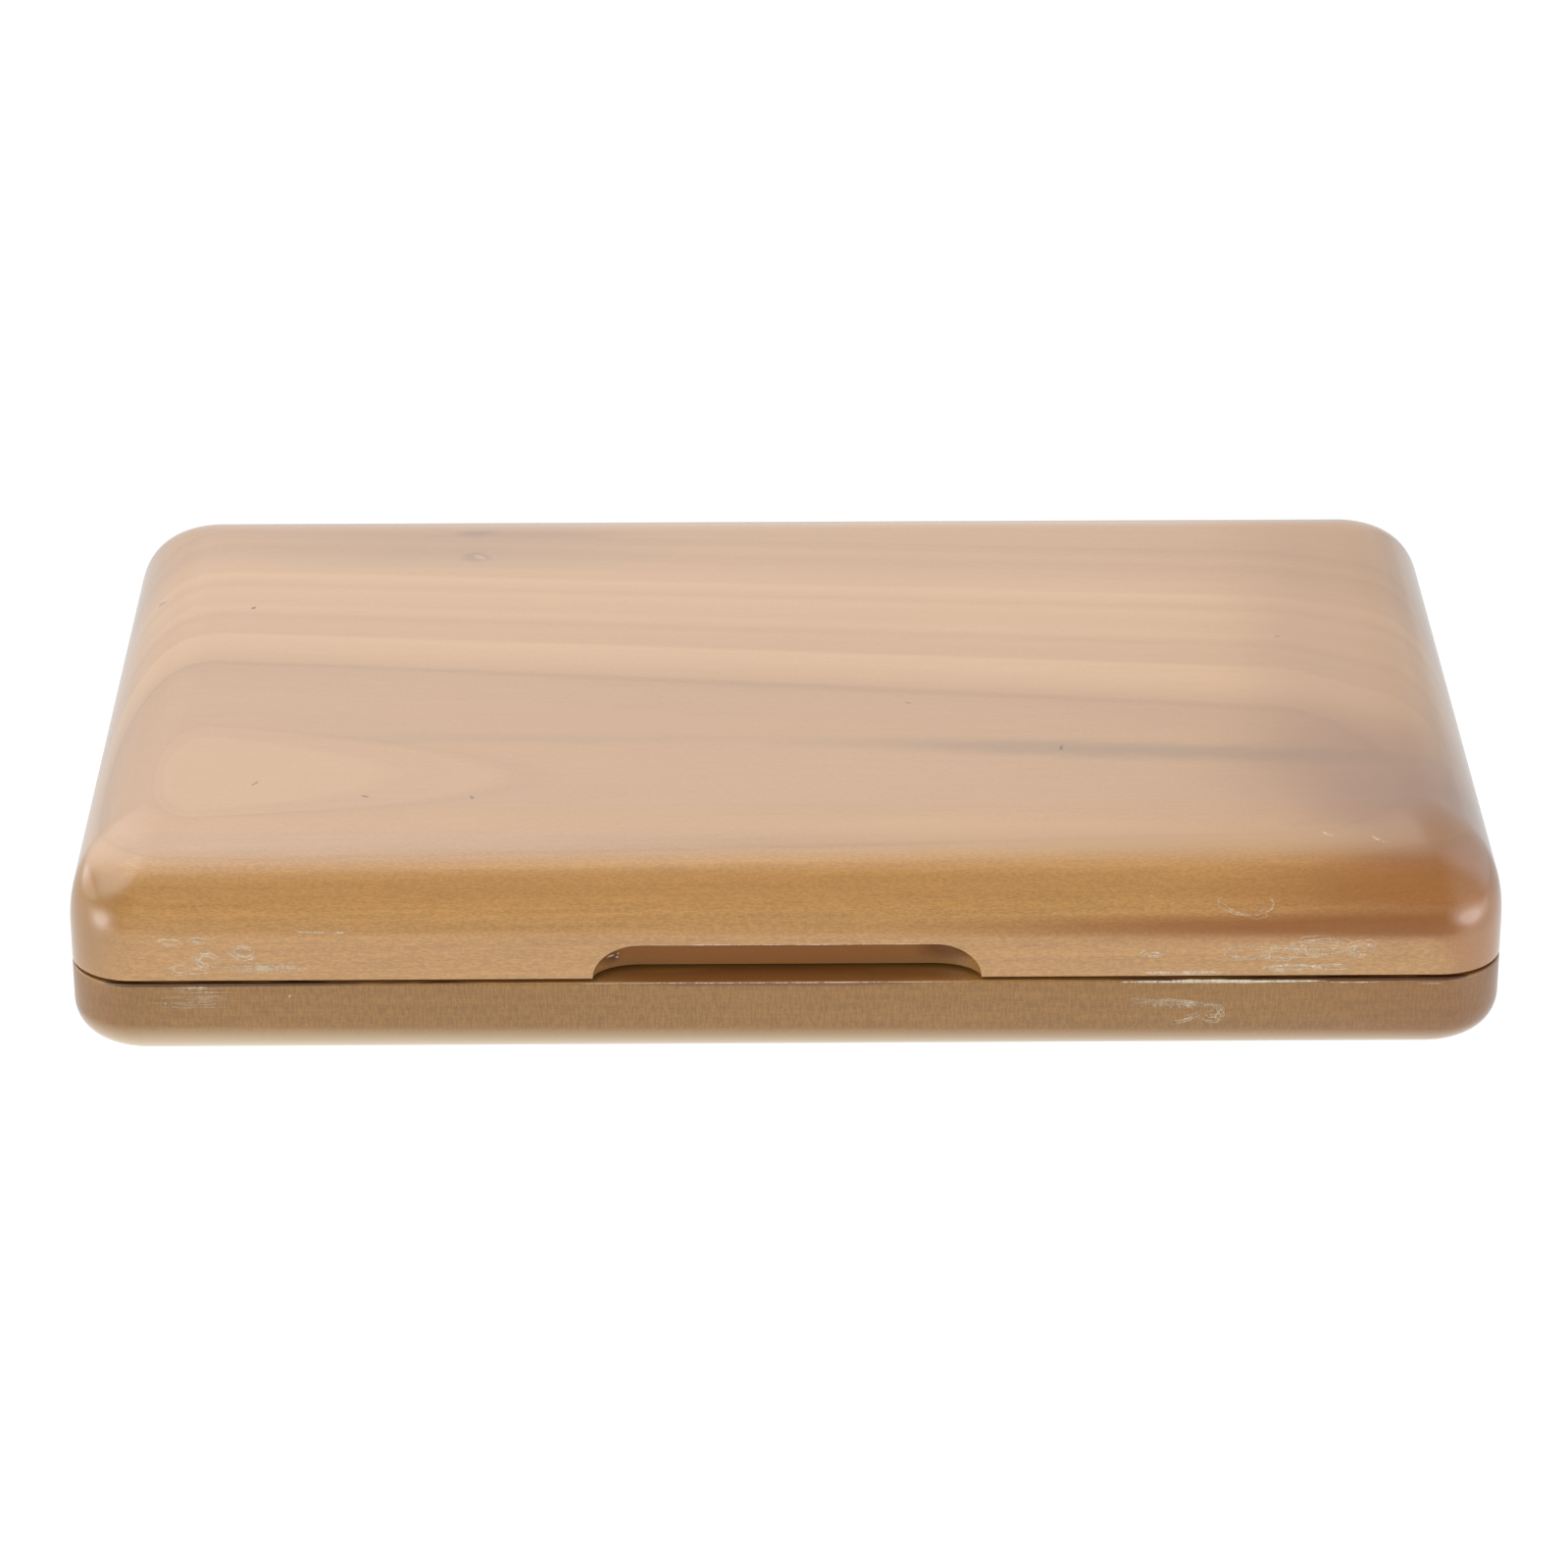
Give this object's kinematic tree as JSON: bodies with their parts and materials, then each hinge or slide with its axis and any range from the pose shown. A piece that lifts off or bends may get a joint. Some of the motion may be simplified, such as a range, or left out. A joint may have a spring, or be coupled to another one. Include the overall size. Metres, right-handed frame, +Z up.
{
  "type": "bassoon reed case",
  "caption": "Slim hinged wooden box with rounded edges and a finger notch, that closes on magnets and holds reeds on pegs over a velvet pad.",
  "frame": {"origin": "middle of the underside, on the surface the case lies on", "axes": "+X along the case to the right, +Y from the finger notch to the hinges, +Z up"},
  "size_m": [0.14, 0.088, 0.0231],
  "materials": {
    "maple_shell": "satin lacquered maple",
    "maple_rail": "satin lacquered maple",
    "velvet": "short-pile velvet",
    "brass": "turned and polished brass",
    "nickel": "nickel-plated magnet"
  },
  "bodies": {
    "base": {"base_shell": "maple_shell", "base_pad": "velvet", "peg_rail": "maple_rail", "reed_peg_1": "brass", "reed_peg_2": "brass", "reed_peg_3": "brass", "reed_peg_4": "brass", "reed_peg_5": "brass", "reed_peg_6": "brass", "rail_screw_left": "brass", "rail_screw_right": "brass", "hinge_base_leaf_left": "brass", "hinge_base_leaf_right": "brass", "hinge_pin_left": "brass", "hinge_pin_right": "brass", "base_screw_left_1": "brass", "base_screw_left_2": "brass", "base_screw_right_1": "brass", "base_screw_right_2": "brass", "base_magnet_left": "nickel", "base_magnet_right": "nickel"},
    "lid": {"lid_shell": "maple_shell", "lid_pad": "velvet", "hinge_lid_leaf_left": "brass", "hinge_lid_leaf_right": "brass", "lid_screw_left_1": "brass", "lid_screw_left_2": "brass", "lid_screw_right_1": "brass", "lid_screw_right_2": "brass", "lid_magnet_left": "nickel", "lid_magnet_right": "nickel"}
  },
  "joints": [
    {"name": "lid_hinge", "type": "hinge", "parent": "base", "child": "lid", "pos_m": [0, 0.0423, 0.00847], "axis": [-1, 0, 0], "range_deg": [0, 96]}
  ]
}
